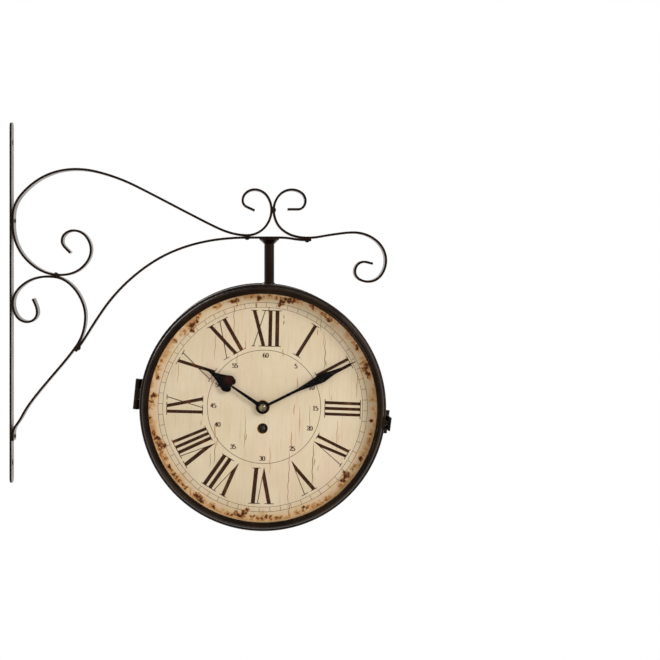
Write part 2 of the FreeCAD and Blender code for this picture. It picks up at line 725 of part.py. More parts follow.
def build_face(spigot):
    """Every piece of one face by name, with its bezel's back on the XZ plane."""
    tube = hour_tube_diameter / 2
    arbor = arbor_diameter / 2
    cap_back = minute_hand_back + hand_thickness + hub_rise
    tube_top = minute_hand_back - running_gap
    arbor_end = movement_back + arbor_floor + arbor_end_gap
    cap = turned_about(domed(cap_diameter / 2, cap_rise), V(1, 0, 0), -90).translated(V(0, cap_back, 0))
    nut_hole = disc(bushing_diameter / 2 + fit_gap, -far, far)
    nut_back = dial_front + dial_washer_thickness
    washer = disc(dial_washer_diameter / 2, dial_front, nut_back).cut(nut_hole)
    nut = hexagon(nut_across_flats, V(0, nut_back, 0), DEEP, nut_thickness).cut(nut_hole)
    minute_hand = cut_hand(lance_outline(), minute_boss, minute_hand_back, minute_angle, arbor_diameter)
    collar = ring(arbor, cap_diameter / 2, minute_hand_back + hand_thickness, cap_back)
    bezel = build_bezel(spigot)
    return {
        "bezel": [bezel],
        "glass": [disc(dial_radius, glass_back, glass_front)],
        "spacer_ring": [ring(opening_radius + spacer_reveal, dial_radius, dial_front, glass_back)],
        "dial": [disc(dial_radius, dial_back, dial_front).cut(nut_hole)],
        "snap_ring": [build_snap_ring()],
        "movement": [build_movement()],
        "cell": [build_cell()],
        "cell_contacts": build_contacts(),
        "dial_nut": [washer, nut],
        "setting_knob": [build_knob()],
        "hour_tube": [ring(arbor + shaft_clearance, tube, arbor_end + arbor_end_gap, tube_top)],
        "hour_hand": [cut_hand(spade_outline(), hour_boss, hour_hand_back, hour_angle, hour_tube_diameter)],
        "minute_arbor": [disc(arbor, arbor_end, cap_back)],
        "minute_hand": [minute_hand.fuse(collar)],
        "hand_cap": [cap],
    }


def build_bezel_screws():
    """Screws round the drum that hold the rear bezel's spigot."""
    depth = band_half - spigot_depth / 2
    tip = pocket_radius - bezel_screw_tip
    shank = rod(bezel_screw_diameter / 2, V(0, depth, tip), V(0, depth, band_radius))
    head = domed(bezel_screw_head / 2, bezel_screw_rise).translated(V(0, depth, band_radius))
    whole = shank.fuse(head)
    return [turned_about(whole, DEEP, 90 + 360 * k / bezel_screw_count) for k in range(bezel_screw_count)]


def build_head(bolt_hole):
    hinge, notch = build_hinge()
    latch, catch_neck_hole = build_latch()
    rivets = build_case_rivets()
    rivet_holes = shanks(rivets)
    screws = build_bezel_screws()
    band = ring(band_bore, band_radius, -band_half, band_half)
    band = band.cut([bolt_hole, notch] + rivet_holes + screws)
    screws = [screw.cut(band) for screw in screws]

    save("case_band", hung(band))
    save("case_rivets", *[hung(piece.cut(band)) for piece in rivets])
    save("bezel_screws", *[hung(piece) for piece in screws])
    for name, piece in {**hinge, **latch}.items():
        if name in ("hinge_case_leaf", "latch_base"):
            piece = piece.cut(rivet_holes)
        save(name, hung(piece))

    for name, solids in build_face(spigot=False).items():
        placed = [turned_about(s.translated(V(0, band_half + door_gap, 0)), UP, 180) for s in solids]
        if name == "bezel":
            placed = [s.cut(catch_neck_hole) for s in placed]
        save("front_" + name, *[hung(s) for s in placed])
    for name, solids in build_face(spigot=True).items():
        placed = [s.translated(V(0, band_half, 0)) for s in solids]
        if name == "bezel":
            placed = [s.cut(screws) for s in placed]
        save("rear_" + name, *[hung(s) for s in placed])


os.makedirs("parts", exist_ok=True)
build_bracket()
build_head(build_post())
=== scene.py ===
import math
from functools import reduce

import bpy
from mathutils import Matrix, Vector
from mathutils.geometry import delaunay_2d_cdt


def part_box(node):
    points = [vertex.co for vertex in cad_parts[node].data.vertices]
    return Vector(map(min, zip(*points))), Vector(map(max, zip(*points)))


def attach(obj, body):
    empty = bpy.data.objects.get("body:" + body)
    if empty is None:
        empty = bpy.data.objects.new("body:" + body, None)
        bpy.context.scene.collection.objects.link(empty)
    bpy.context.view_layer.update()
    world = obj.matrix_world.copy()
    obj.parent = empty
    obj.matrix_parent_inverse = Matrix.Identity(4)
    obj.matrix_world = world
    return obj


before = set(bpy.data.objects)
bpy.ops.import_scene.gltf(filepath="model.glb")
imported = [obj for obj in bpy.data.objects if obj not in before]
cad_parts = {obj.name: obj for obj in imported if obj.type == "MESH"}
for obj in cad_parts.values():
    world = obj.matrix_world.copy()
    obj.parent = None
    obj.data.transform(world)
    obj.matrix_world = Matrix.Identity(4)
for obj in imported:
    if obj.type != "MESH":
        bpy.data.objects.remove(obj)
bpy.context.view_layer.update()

# Double sided station clock on a scrolled wall bracket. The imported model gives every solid;
# this script adds the printed dials, all materials, the light and the camera. Print is drawn in
# millimetres on each dial's own plane, x to its right, y to its twelve and z towards the reader.

MM = 0.001
HEAD_LEAN = math.radians(3.3)         # the head hangs clockwise, seen from the front
HEART = (0.2184, 0.0, -0.0742)        # the hour hand's heart at rest, in metres

# Sizes of the print, in millimetres. Numerals, their circle and the minute numbers stand a little
# beside the minute track and turned from it.
PRINT_RISE = 0.04                     # the thickest layer of print; the others are parts of it
TRACK_OUTER = 102.9
TRACK_INNER = 98.2
TRACK_SHIFT = (0.1, -0.25)
CHAPTER_RADIUS = 55.7
CHAPTER_TURN = -0.5
CHAPTER_SHIFT = (1.31, 0.13)
NUMBER_HEIGHT = 4.5
HOLE = (0.9, -20.9)
HOLE_RADIUS = 4.9
THIN = 0.85                           # a numeral's thin strokes
SERIF = 0.7
V_TIP = 0.45                          # the blunt foot of a V
TRACK_LINE = 0.34
TRACK_TICK = 0.36
CHAPTER_LINE = 0.46
FIGURE_THIN, FIGURE_THICK = 0.5, 1.1  # pen widths of the minute numbers
FIGURE_PITCH = 0.62                   # from one figure to the next, in heights

PAINT = (10, 5, 3)                    # brown-black paint of all the iron
RUST = (84, 44, 24)

FLOOR_CENTRE = (0.2, 0.0, 0.0)
FLOOR_HEIGHT = -0.62
FLOOR_RADIUS = 8.0
WORLD_LEVEL = 0.62


# ---------------------------------------------------------------- materials

def tone(red, green, blue):
    """A colour from the values, up to 255, that it shows as on a screen."""
    shares = [value / 255 for value in (red, green, blue)]
    linear = [((c + 0.055) / 1.055) ** 2.4 if c > 10 / 255 else c / 12.92 for c in shares]
    return (*linear, 1.0)


class Net:
    """One material's nodes. Values are numbers or sockets, and what comes back is a socket."""

    def __init__(self, name):
        self.material = bpy.data.materials.new(name)
        self.material.use_nodes = True
        self.tree = self.material.node_tree
        self.tree.nodes.clear()

    def add(self, kind, *values, named=None, **settings):
        node = self.tree.nodes.new("ShaderNode" + kind)
        for key, value in settings.items():
            setattr(node, key, value)
        for socket, value in zip(node.inputs, values):
            self.feed(socket, value)
        for key, value in (named or {}).items():
            self.feed(node.inputs[key], value)
        return node

    def feed(self, socket, value):
        if isinstance(value, bpy.types.NodeSocket):
            self.tree.links.new(value, socket)
        elif value is not None:
            socket.default_value = value

    def math(self, operation, *values):
        return self.add("Math", *values, operation=operation).outputs[0]

    def vector(self, operation, *values, out=0):
        return self.add("VectorMath", *values, operation=operation).outputs[out]

    def remap(self, value, low, high, start=0.0, end=1.0):
        """Start at low and below, end at high and beyond, and a smooth way between."""
        node = self.add("MapRange", value, low, high, start, end, interpolation_type="SMOOTHSTEP")
        return node.outputs[0]

    def mix(self, share, first, second):
        node = self.add("Mix", data_type="RGBA")
        self.feed(node.inputs[0], share)
        self.feed(node.inputs[6], first)
        self.feed(node.inputs[7], second)
        return node.outputs[2]

    def place(self):
        """Where a point is on the object at rest, in metres."""
        return self.add("TexCoord").outputs["Object"]

    def noise(self, where, scale, detail=3.0, roughness=0.5, out="Fac"):
        named = {"Vector": where, "Scale": scale, "Detail": detail, "Roughness": roughness}
        return self.add("TexNoise", named=named).outputs[out]

    def edge(self, radius):
        """1 on sharp edges, and 0 on faces."""
        rounded = self.add("Bevel", radius, samples=4).outputs[0]
        straight = self.add("NewGeometry").outputs["Normal"]
        return self.remap(self.vector("DOT_PRODUCT", rounded, straight, out=1), 0.995, 0.90)

    def bump(self, height, distance):
        return self.add("Bump", named={"Height": height, "Distance": distance}).outputs[0]

    def times(self, first, second):
        return self.math("MULTIPLY", first, second)

    def finish(self, **values):
        """The surface itself, with inputs of the Principled shader by name."""
        named = {key.replace("_", " "): value for key, value in values.items()}
        shader = self.add("BsdfPrincipled", named=named)
        self.tree.links.new(shader.outputs[0], self.add("OutputMaterial").inputs[0])
        return self.material


def aged_iron(name, cloud=(23, 14, 9), worn=(92, 80, 70), rusting=0.5, wear=0.0, dust=0.0):
    """Brown-black paint on iron: cloudy, specked with rust, dusty, rubbed at the edges, pitted."""
    net = Net(name)
    where = net.place()
    broad = net.remap(net.noise(where, 34.0, 4.0, 0.6), 0.36, 0.64)
    specks = net.remap(net.noise(where, 420.0, 4.0, 0.65), 0.60, 0.70)
    patches = net.remap(net.noise(where, 22.0, 5.0, 0.65), 0.50, 0.66)
    colour = net.mix(broad, tone(*PAINT), tone(*cloud))
    colour = net.mix(net.times(net.times(specks, patches), rusting), colour, tone(*RUST))
    if wear:
        rubbed = net.times(net.edge(0.0005), net.remap(net.noise(where, 60.0, 4.0), 0.46, 0.66))
        colour = net.mix(net.times(rubbed, wear), colour, tone(*worn))
    grain = net.noise(where, 700.0, 4.0, 0.6)
    grit = net.remap(grain, 0.3, 0.7, -0.03, 0.04)
    rough = net.math("ADD", grit, net.remap(broad, 0.0, 1.0, 0.22, 0.29))
    # A dark tint dims what the paint reflects seen straight on, and leaves it light at a slant
    return net.finish(Base_Color=colour, Roughness=rough, Specular_Tint=tone(140, 112, 94),
                      Sheen_Weight=dust, Sheen_Roughness=0.35, Sheen_Tint=tone(226, 190, 166),
                      Normal=net.bump(grain, 0.000008))


def bare_metal(name, colour, shade, roughness):
    """Plated or turned metal with fine scratches and a dull bloom."""
    net = Net(name)
    where = net.place()
    scratches = net.noise(where, 1500.0, 3.0, 0.6)
    bloom = net.remap(net.noise(where, 160.0, 4.0, 0.6), 0.35, 0.68)
    tint = net.mix(bloom, tone(*colour), tone(*shade))
    grit = net.remap(scratches, 0.3, 0.7, 0.0, 0.14)
    rough = net.math("ADD", grit, net.remap(bloom, 0.0, 1.0, roughness, roughness + 0.12))
    return net.finish(Base_Color=tint, Metallic=1.0, Roughness=rough,
                      Normal=net.bump(scratches, 0.000015))


def moulded(name, colour, lighter, roughness=0.42):
    """Moulded plastic with a spark-eroded surface and scuffed corners."""
    net = Net(name)
    where = net.place()
    grain = net.noise(where, 2600.0, 2.0, 0.5)
    flow = net.remap(net.noise(where, 60.0, 3.0, 0.55), 0.3, 0.7)
    tint = net.mix(flow, tone(*colour), tone(*lighter))
    scuffed = [min(255, value + 40) for value in lighter]
    tint = net.mix(net.times(net.edge(0.0004), 0.5), tint, tone(*scuffed))
    grit = net.remap(grain, 0.3, 0.7, -0.05, 0.07)
    rough = net.math("ADD", grit, net.remap(flow, 0.0, 1.0, roughness, roughness + 0.06))
    return net.finish(Base_Color=tint, Roughness=rough, Specular_IOR_Level=0.35,
                      Normal=net.bump(grain, 0.00002))


def hand_enamel(name):
    """Blackened steel of the hands, nearly matt, brown where the black is thin and on the heart."""
    net = Net(name)
    where = net.place()
    thin = net.remap(net.noise(where, 55.0, 4.0, 0.6), 0.50, 0.72, 0.0, 0.5)
    flat = net.vector("MULTIPLY", where, (1.0, 0.0, 1.0))
    patch = net.remap(net.vector("DISTANCE", flat, HEART, out=1), 0.0078, 0.0012)
    grain = net.noise(where, 1800.0, 3.0, 0.6)
    colour = net.mix(net.math("MAXIMUM", thin, patch), tone(9, 7, 7), tone(46, 19, 9))
    rough = net.remap(grain, 0.3, 0.7, 0.40, 0.58)
    return net.finish(Base_Color=colour, Roughness=rough, Specular_IOR_Level=0.04,
                      Normal=net.bump(grain, 0.00001))


def window_glass(name):
    """Thin clear glass, with little reflection seen straight on and more at a slant."""
    net = Net(name)
    smear = net.remap(net.noise(net.place(), 24.0, 4.0, 0.6), 0.35, 0.75, 0.02, 0.07)
    clear = net.add("BsdfTransparent", (0.985, 0.99, 0.985, 1.0)).outputs[0]
    white = (1.0, 1.0, 1.0, 1.0)
    gloss = net.add("BsdfGlossy", named={"Color": white, "Roughness": smear}).outputs[0]
    facing = net.add("LayerWeight", 0.5).outputs["Facing"]
    share = net.math("MULTIPLY_ADD", net.math("POWER", facing, 5.0), 0.85, 0.0015)
    both = net.add("MixShader", share, clear, gloss).outputs[0]
    net.tree.links.new(both, net.add("OutputMaterial").inputs[0])
    return net.material


# ---------------------------------------------------------------- the dials' surface

def polar(angle, radius):
    """A point of the dial from degrees past twelve and a radius."""
    turn = math.radians(angle)
    return (radius * math.sin(turn), radius * math.cos(turn))


# Stains by the rim: x, y, size and depth. Each fades out at STAIN_REACH times its size.
STAIN_REACH = 1.65
STAINS = [
    (-37, 102.6, 2.5, 0.7), (-34, 103, 3, 0.9), (-31, 103.2, 3, 1.0), (-29, 104, 2.5, 0.8),
    (-29, 100, 1.6, 0.5), (-7.5, 107.2, 3, 1.0), (-14, 108, 3, 0.6), (-3, 108.3, 3, 0.6),
    (-20, 107.3, 3, 0.5), (-50, 96.5, 3.5, 0.6), (-46, 98.6, 3, 0.5), (-67.3, 81.8, 2.5, 1.0),
    (-68, 84.5, 3, 0.8), (-65, 87.6, 3, 0.6), (-72, 79, 4, 1.0), (-74, 77.2, 4, 0.8),
    (-76, 76.6, 3, 0.6), (-71.4, 73.4, 3, 1.0), (-79, 72, 4, 0.5), (-82, 69, 4, 0.5),
    (-88.3, 62, 2.4, 1.0), (-92, 57, 4, 0.35), (-97, 50, 4, 0.35), (-101, 41, 4, 0.5),
    (-103.5, 35, 4, 0.55), (-105.5, 29, 4, 0.5), (-103.8, 26.5, 2.4, 0.95), (-108, 7.5, 3.5, 1.0),
    (-104, 7.5, 2, 0.6), (-109.5, 2, 3, 0.8), (-110, -4, 3, 0.7), (-109.5, -14, 2.8, 0.85),
    (-108.5, -20, 3, 0.5), (-106, -29, 3, 0.8), (-104, -33, 3.5, 0.95), (-101.3, -35, 2.6, 1.0),
    (-102, -38, 3, 0.8), (-100, -40, 4, 1.0), (-98, -42, 3, 0.9), (-94.5, -41.2, 2.5, 1.0),
    (-99, -45, 4, 0.7), (-98, -49, 4, 0.6), (-95, -54, 4, 0.65), (-90, -61.3, 2.8, 1.0),
    (-88, -65, 3, 0.7), (-85, -69, 3, 0.8), (-82, -72.5, 3, 0.8), (-79, -76, 3, 0.8),
    (-76, -79.3, 3, 0.8), (-73, -82, 3, 0.7), (-77, -72, 5, 0.35), (-68, -84, 4, 0.35),
    (-66, -88, 3, 0.45), (-64, -88.4, 3, 0.8), (-61.5, -89.5, 4, 1.0), (-60, -92, 3, 0.9),
    (-58.5, -93.2, 3.5, 1.0), (-56, -95.3, 3, 0.9), (-52, -98, 4, 0.4), (-47, -98, 2.6, 0.6),
    (-45.5, -99.5, 3, 0.9), (-44, -101.5, 3, 0.85), (-31, -106.3, 2.5, 0.8),
    (-27, -106.8, 2.6, 0.9), (-22, -106.5, 3, 1.0), (-19.5, -107.5, 2.6, 1.0),
    (-21, -104.5, 1.8, 0.9), (-17, -107.5, 3, 0.9), (-15, -105, 3, 1.0), (-13, -104, 2, 0.9),
    (-12, -102, 2.8, 1.0), (-10.5, -103, 1.6, 0.7), (-8, -107.7, 2.2, 0.8), (-5, -108, 2.2, 0.9),
    (-1, -108.5, 3, 0.7), (3, -105, 5, 0.4), (3, -109, 3, 0.8), (7.5, -107.5, 2.4, 1.0),
    (12, -108.8, 3, 0.7), (17, -108.8, 3, 0.8), (21, -108, 2.6, 0.7), (31, -104.4, 2.4, 0.6),
    (37, -102.4, 2.4, 0.7), (43, -99.6, 2.4, 0.7), (44, -97, 2.4, 1.0), (48, -97.5, 3, 0.7),
    (53, -96.3, 3, 0.6), (58, -94, 3, 0.6), (59, -90, 3, 0.35), (62, -91, 3, 0.5),
    (66, -88.5, 3.5, 0.65), (79.5, -74, 3, 0.6), (81.5, -70, 3.5, 1.0), (83, -71, 3, 0.8),
    (83, -66, 4, 1.0), (85, -64, 3.5, 1.0), (83.2, -61.5, 2.2, 1.0), (87, -65, 3, 0.8),
    (90, -58, 3, 0.7), (93, -54.6, 3, 0.7), (98, -47.2, 2.8, 1.0), (100, -43.5, 3, 0.6),
    (107.3, -10, 2.4, 1.0), (107.5, -23, 3, 0.7), (106, -28, 2.6, 0.6), (3, 108.5, 3, 0.6),
    (9, 108.5, 3, 0.6), (13, 101.2, 2.2, 1.0), (17, 101, 1.8, 0.6), (14.3, 106, 3, 0.9),
    (15, 104, 3.2, 1.0), (17, 103.4, 2.6, 0.9), (19, 106.5, 3, 0.9), (21.5, 104, 2.6, 1.0),
    (24, 106.5, 3, 0.9), (27, 106, 3, 0.9), (30.5, 106, 2.6, 0.7), (43, 101, 3, 0.6),
    (46, 99.5, 3, 0.85), (49, 98, 3, 0.6), (56, 93.5, 4, 0.6), (59, 92, 4, 0.6), (60, 90, 3, 0.7),
    (62, 88.3, 3.2, 0.95), (67, 85, 5, 0.35), (88, 66, 3, 0.5), (90.5, 62.6, 3, 0.85),
    (91, 60.5, 2.6, 1.0), (96, 52, 4, 0.4), (99, 48, 3.5, 0.7), (97, 46, 3, 0.6), (101, 43, 4, 0.9),
    (99, 40, 4, 1.0), (95.5, 40.6, 2.4, 0.8), (102, 36, 3.5, 1.0), (102.2, 33.5, 2.4, 0.9),
    (104, 31, 3, 0.5), (108, 12, 5, 0.45), (109, 3, 4, 0.4),
]


class Dial:
    """One printed dial of the clock."""

    def __init__(self, name, side, print_turn, carrier):
        """Side is -1 or 1 along y, and print_turn is how far the print is turned clockwise."""
        low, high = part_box(name + "_dial")
        middle = (low + high) / 2
        self.name = name
        self.carrier = carrier
        self.origin = Vector((middle.x, low.y if side < 0 else high.y, middle.z))
        # Columns are the print's right, up and outward directions
        upright = Matrix(((-side, 0, 0), (0, 0, side), (0, 1, 0))).to_3x3()
        turn = Matrix.Rotation(-math.radians(print_turn), 3, "Z")
        self.turn = Matrix.Rotation(HEAD_LEAN, 3, "Y") @ upright @ turn

    def plane(self, net):
        """The print's own coordinates, in millimetres."""
        named = {"Vector": net.add("TexCoord").outputs["Object"], "Location": self.origin,
                 "Rotation": self.turn.to_euler(), "Scale": (MM, MM, MM)}
        return net.add("Mapping", vector_type="TEXTURE", named=named).outputs[0]

    def stains(self, net, spread):
        """How deeply a place is stained: 0 where it is clean and 1 in the darkest spots."""
        masks = []
        for x, y, size, depth in STAINS:
            away = net.vector("DISTANCE", spread, (x, y, 0.0), out=1)
            masks.append(net.remap(away, size * STAIN_REACH, 0.0, 0.0, depth))
        return reduce(lambda first, second: net.math("MAXIMUM", first, second), masks)

    def board(self):
        """Aged cream paper on board: cloudy, faintly grained, browned and stained at its rim."""
        net = Net(self.name + "_dial_board")
        flat = net.vector("MULTIPLY", self.plane(net), (1.0, 1.0, 0.0))
        radius = net.vector("LENGTH", flat, out=1)
        drift = net.noise(flat, 0.16, 6.0, 0.7, out="Color")
        drift = net.vector("SUBTRACT", drift, (0.5, 0.5, 0.5))
        near = net.vector("ADD", flat, net.vector("MULTIPLY", drift, (11.0, 11.0, 0.0)))
        clouds = net.remap(net.noise(flat, 0.022, 4.0, 0.55), 0.35, 0.65)
        bands = net.noise(net.vector("MULTIPLY", flat, (1.0, 0.16, 1.0)), 0.045, 4.0, 0.6)
        grain = net.noise(net.vector("MULTIPLY", flat, (1.0, 0.045, 1.0)), 0.55, 6.0, 0.7)
        speck = net.noise(flat, 1.6, 3.0, 0.6)

        # The rim browns more at the lower left, along a ragged edge
        wander = net.noise(flat, 0.09, 5.0, 0.65)
        ragged = net.math("ADD", radius, net.remap(wander, 0.25, 0.75, -6.0, 6.0))
        lower_left = net.vector("DOT_PRODUCT", flat, (-0.35, -0.94, 0.0), out=1)
        slant = net.math("DIVIDE", lower_left, radius)
        glow = net.times(net.remap(ragged, 99.0, 113.0), net.remap(slant, -1.0, 0.6, 0.44, 0.60))
        rim = net.times(net.remap(ragged, 108.5, 113.5), net.remap(slant, -1.0, 0.9, 0.55, 0.74))
        fleck = net.remap(net.noise(flat, 0.42, 5.0, 0.7), 0.60, 0.70)
        torn = net.remap(net.noise(flat, 0.34, 6.0, 0.7), 0.28, 0.70, 0.35, 1.4)
        depth = net.times(self.stains(net, near), torn)

        # From the bare paper up to the darkest spots: how much of each colour, and the colour
        colour = net.mix(clouds, tone(225, 204, 173), tone(232, 213, 185))
        for share, shade in (
                (net.remap(bands, 0.50, 0.66, 0.0, 0.6), (231, 203, 178)),
                (net.remap(bands, 0.48, 0.34, 0.0, 0.45), (226, 205, 164)),
                (net.remap(grain, 0.53, 0.74, 0.0, 0.55), (192, 158, 112)),
                (net.remap(grain, 0.46, 0.26, 0.0, 0.45), (240, 224, 198)),
                (net.remap(speck, 0.60, 0.80, 0.0, 0.25), (186, 150, 104)),
                (glow, (230, 186, 126)),
                (rim, (176, 114, 60)),
                (net.times(fleck, net.remap(radius, 101.0, 111.0, 0.0, 0.6)), (176, 118, 64)),
                (net.remap(depth, 0.10, 0.46, 0.0, 0.72), (212, 160, 98)),
                (net.remap(depth, 0.34, 0.56, 0.0, 0.84), (152, 88, 36)),
                (net.remap(depth, 0.54, 0.78, 0.0, 0.95), (68, 34, 15))):
            colour = net.mix(share, colour, tone(*shade))
        rough = net.remap(speck, 0.3, 0.7, 0.62, 0.78)
        height = net.math("ADD", grain, net.times(speck, 0.4))
        return net.finish(Base_Color=colour, Roughness=rough, Specular_IOR_Level=0.15,
                          Normal=net.bump(height, 0.00006))

    def ink(self, label, deep, faded, chip):
        """Brown printing ink, streaky, and flaked off where noise is over chip."""
        net = Net(self.name + "_" + label)
        flat = net.vector("MULTIPLY", self.plane(net), (1.0, 1.0, 0.0))
        streaks = net.noise(net.vector("MULTIPLY", flat, (1.0, 0.3, 1.0)), 0.10, 4.0, 0.6)
        flakes = net.remap(net.noise(flat, 0.8, 4.0, 0.7), chip, chip + 0.07)
        colour = net.mix(net.remap(streaks, 0.48, 0.84), tone(*deep), tone(*faded))
        colour = net.mix(net.times(flakes, 0.75), colour, tone(196, 160, 118))
        rough = net.remap(streaks, 0.3, 0.7, 0.55, 0.72)
        return net.finish(Base_Color=colour, Roughness=rough, Specular_IOR_Level=0.12,
                          Normal=net.bump(streaks, 0.00002))

    def print_on(self, label, shapes, material, rise=PRINT_RISE, turn=0.0, shift=(0.0, 0.0)):
        """Raises flat closed outlines as one thin layer of print, turned clockwise and moved."""
        points, faces = [], []
        spin = Matrix.Rotation(-math.radians(turn), 2)
        for shape in shapes:
            first = len(points)
            corners = [spin @ Vector(point) + Vector(shift) for point in shape]
            area = sum(a.cross(b) for a, b in zip(corners, corners[1:] + corners[:1]))
            points += corners if area > 0 else corners[::-1]
            faces.append(list(range(first, len(points))))
        merged = delaunay_2d_cdt(points, [], faces, 0, 1e-4)
        flat, owners = merged[0], merged[5]
        tiles = [tile for tile, owner in zip(merged[2], owners) if owner]
        count = len(flat)
        sides = {}
        for tile in tiles:
            for a, b in zip(tile, tile[1:] + tile[:1]):
                sides[(a, b)] = sides.get((a, b), 0) + 1
        walls = [(a, b, b + count, a + count) for a, b in sides if (b, a) not in sides]
        vertices = [self.origin + self.turn @ Vector((p.x, p.y, z)) * MM
                    for z in (0.0, rise) for p in flat]
        undersides = [tuple(reversed(tile)) for tile in tiles]
        tops = [tuple(i + count for i in tile) for tile in tiles]
        mesh = bpy.data.meshes.new(self.name + "_" + label)
        mesh.from_pydata(vertices, [], undersides + tops + walls)
        mesh.materials.append(material)
        piece = bpy.data.objects.new(self.name + "_" + label, mesh)
        bpy.context.scene.collection.objects.link(piece)
        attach(piece, self.carrier)


# ---------------------------------------------------------------- drawing the print

def bar(start, end, width):
    """A straight stroke between two points."""
    start, end = Vector(start), Vector(end)
    along = (end - start).normalized()
    side = Vector((-along.y, along.x)) * width / 2
    return [start - side, end - side, end + side, start + side]


def level_bar(foot, head, low, high, width_low, width_high=None):
    """A stroke whose ends are cut level, from x = foot at y = low to x = head at y = high."""
    half_low = width_low / 2
    half_high = (width_low if width_high is None else width_high) / 2
    return [(foot - half_low, low), (foot + half_low, low),
            (head + half_high, high), (head - half_high, high)]


def hoop(radius, width, pieces=240):
    """A thin circle as flat tiles."""
    tiles = []
    for k in range(pieces):
        a, b = 360 * k / pieces, 360 * (k + 1) / pieces
        inner, outer = radius - width / 2, radius + width / 2
        tiles.append([polar(b, inner), polar(b, outer), polar(a, outer), polar(a, inner)])
    return tiles


def disc(centre, radius, sides=48):
    """A round spot as a polygon."""
    steps = [2 * math.pi * k / sides for k in range(sides)]
    return [(centre[0] + radius * math.cos(a), centre[1] + radius * math.sin(a)) for a in steps]


def smooth(points, steps=6):
    """Points along a smooth line through the given ones."""
    points = [Vector(p) for p in points]
    if len(points) < 3:
        return points
    ends = [points[0] * 2 - points[1]] + points + [points[-1] * 2 - points[-2]]
    line = []
    for a, b, c, d in zip(ends, ends[1:], ends[2:], ends[3:]):
        for k in range(steps):
            t = k / steps
            line.append(((b * 2) + (c - a) * t + (a * 2 - b * 5 + c * 4 - d) * t ** 2
                         + (b * 3 - a - c * 3 + d) * t ** 3) / 2)
    return line + [points[-1]]


def pen_line(points, thin, thick):
    """A line drawn with a pen that is thick upright and thin across."""
    line = smooth(points)
    edges = []
    for k, point in enumerate(line):
        along = (line[min(k + 1, len(line) - 1)] - line[max(k - 1, 0)]).normalized()
        width = thin + (thick - thin) * along.y ** 2
        across = Vector((-along.y, along.x)) * width / 2
        edges.append((point - across, point + across))
    return [[a, c, d, b] for (a, b), (c, d) in zip(edges, edges[1:])]


# Digits as pen lines in a cell of FIGURE_PITCH by 1
DIGITS = {
    "0": [[(0.31, 0.97), (0.12, 0.82), (0.06, 0.5), (0.12, 0.18), (0.31, 0.03), (0.50, 0.18),
           (0.56, 0.5), (0.50, 0.82), (0.31, 0.97)]],
    "1": [[(0.12, 0.78), (0.31, 0.98)], [(0.31, 0.98), (0.31, 0.0)], [(0.12, 0.03), (0.50, 0.03)]],
    "2": [[(0.08, 0.72), (0.14, 0.92), (0.32, 0.97), (0.50, 0.84), (0.47, 0.60), (0.24, 0.32),
           (0.06, 0.06)], [(0.06, 0.07), (0.56, 0.07)], [(0.56, 0.02), (0.58, 0.26)]],
    "3": [[(0.08, 0.82), (0.20, 0.96), (0.40, 0.93), (0.48, 0.76), (0.38, 0.57), (0.22, 0.53)],
          [(0.22, 0.53), (0.42, 0.49), (0.54, 0.30), (0.44, 0.08), (0.22, 0.02), (0.06, 0.18)]],
    "4": [[(0.40, 0.97), (0.03, 0.30)], [(0.03, 0.30), (0.60, 0.30)], [(0.42, 0.98), (0.42, 0.0)]],
    "5": [[(0.50, 0.93), (0.16, 0.93)], [(0.15, 0.97), (0.11, 0.52)],
          [(0.11, 0.52), (0.28, 0.61), (0.49, 0.52), (0.55, 0.30), (0.43, 0.08), (0.22, 0.02),
           (0.06, 0.16)]],
    "6": [[(0.50, 0.88), (0.34, 0.96), (0.14, 0.80), (0.06, 0.45), (0.12, 0.14), (0.31, 0.03),
           (0.50, 0.14), (0.54, 0.33), (0.44, 0.52), (0.26, 0.54), (0.10, 0.36)]],
}


def number(figures, centre, height, thin, thick):
    """Upright figures about a point."""
    pitch = FIGURE_PITCH * height
    shapes = []
    for place, figure in enumerate(figures):
        x = centre[0] + (place - len(figures) / 2) * pitch + 0.02 * height
        y = centre[1] - height / 2
        for line in DIGITS[figure]:
            shapes += pen_line([(x + px * height, y + py * height) for px, py in line], thin, thick)
    return shapes


